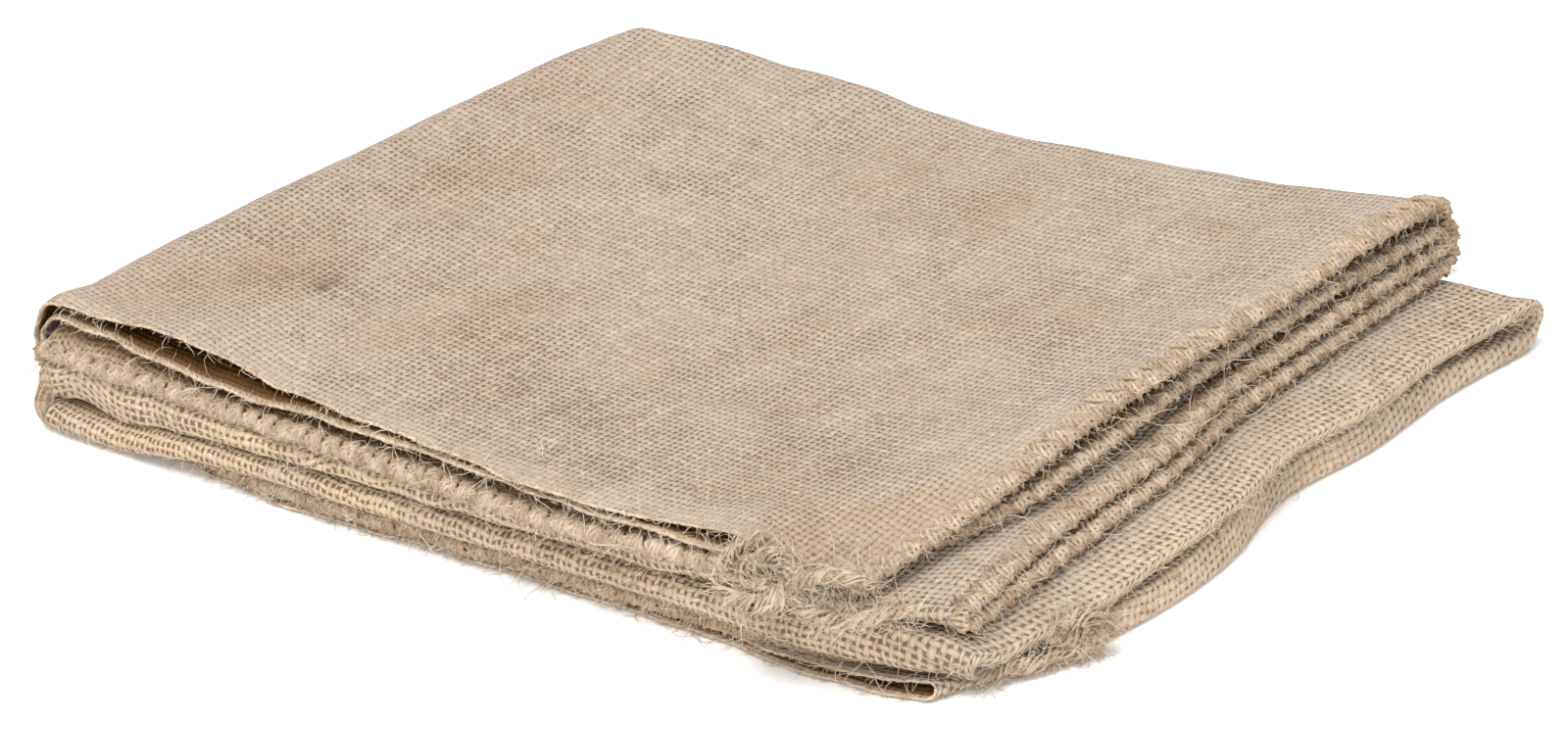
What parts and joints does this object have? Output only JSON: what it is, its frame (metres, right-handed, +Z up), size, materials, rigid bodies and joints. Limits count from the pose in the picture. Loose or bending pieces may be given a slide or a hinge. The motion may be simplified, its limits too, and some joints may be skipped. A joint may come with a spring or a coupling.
{
  "type": "folded jute sack",
  "caption": "Plain hessian sack folded flat into a layered rectangular stack, its mouth open at the front and its overcast seams showing along the edges.",
  "frame": {"origin": "middle of the underside of the whole folded sack's box, on the surface it lies on", "axes": "+X along the front edge, from the lengthwise fold to the seamed edge; +Y from the mouth and the front folds to the back folds; +Z up"},
  "size_m": [0.3645, 0.2523, 0.04],
  "materials": {
    "sack_cloth": "coarse plain-woven jute, matt",
    "side_seam_yarn": "twisted jute yarn, fuzzy",
    "bottom_seam_yarn": "twisted jute yarn, fuzzy",
    "mouth_seam_end": "twisted jute yarn, fuzzy",
    "bottom_seam_end": "twisted jute yarn, fuzzy",
    "fold_seam_end": "twisted jute yarn, fuzzy"
  },
  "bodies": {
    "root": {"sack_cloth": "sack_cloth", "side_seam_yarn": "side_seam_yarn", "bottom_seam_yarn": "bottom_seam_yarn", "mouth_seam_end": "mouth_seam_end", "bottom_seam_end": "bottom_seam_end", "fold_seam_end": "fold_seam_end"}
  },
  "joints": []
}
